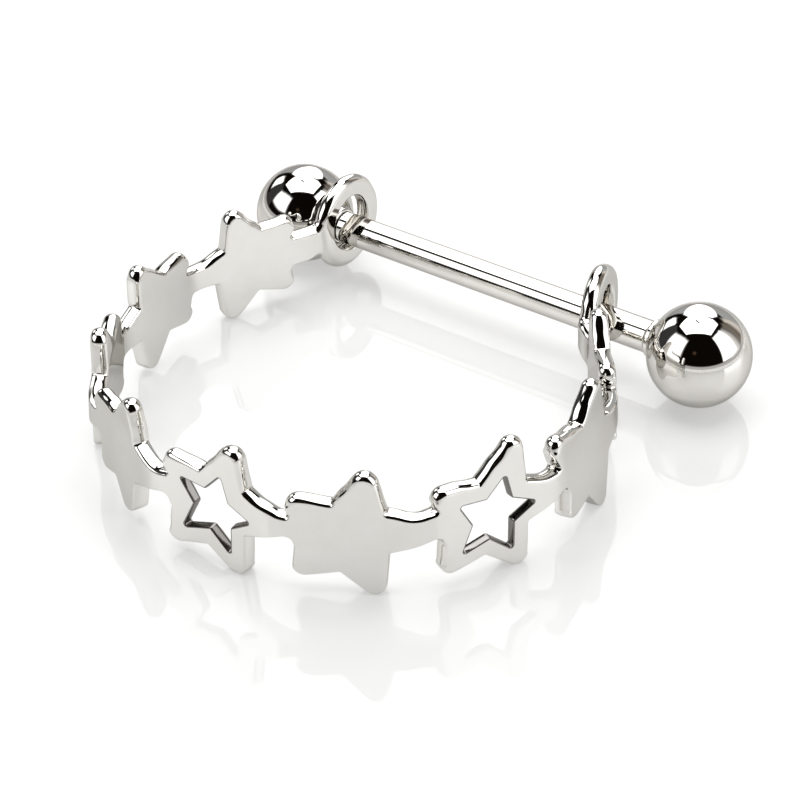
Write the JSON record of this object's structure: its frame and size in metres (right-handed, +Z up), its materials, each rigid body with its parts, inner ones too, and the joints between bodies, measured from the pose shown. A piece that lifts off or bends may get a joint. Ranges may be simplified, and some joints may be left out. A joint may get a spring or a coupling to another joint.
{
  "type": "star hoop on a straight piercing barbell",
  "caption": "Polished open hoop of linked solid and pierced stars, hung by two eyelets on a straight barbell with a screwed ball at each end.",
  "frame": {"origin": "centre of the whole part in plan, on the surface that it lies on", "axes": "+X along the bar towards the right ball, +Z up from the surface, the hoop reaching from the bar towards -Y"},
  "size_m": [0.029, 0.0255, 0.0064],
  "materials": {
    "hoop_metal": "mirror-polished, silver-coloured",
    "bar_metal": "mirror-polished steel",
    "ball_metal": "mirror-polished steel"
  },
  "bodies": {
    "bar": {"bar": "bar_metal"},
    "hoop": {"star_hoop": "hoop_metal"},
    "left_ball": {"left_ball": "ball_metal"},
    "right_ball": {"right_ball": "ball_metal"}
  },
  "joints": [
    {"name": "hoop_swing", "type": "hinge", "parent": "bar", "child": "hoop", "pos_m": [0, 0.01025, 0.0025], "axis": [1, 0, 0], "continuous": true},
    {"name": "left_unscrew", "type": "slide", "parent": "bar", "child": "left_ball", "axis": [-1, 0, 0], "range_m": [0, 0.004]},
    {"name": "right_unscrew", "type": "slide", "parent": "bar", "child": "right_ball", "axis": [1, 0, 0], "range_m": [0, 0.004]}
  ]
}
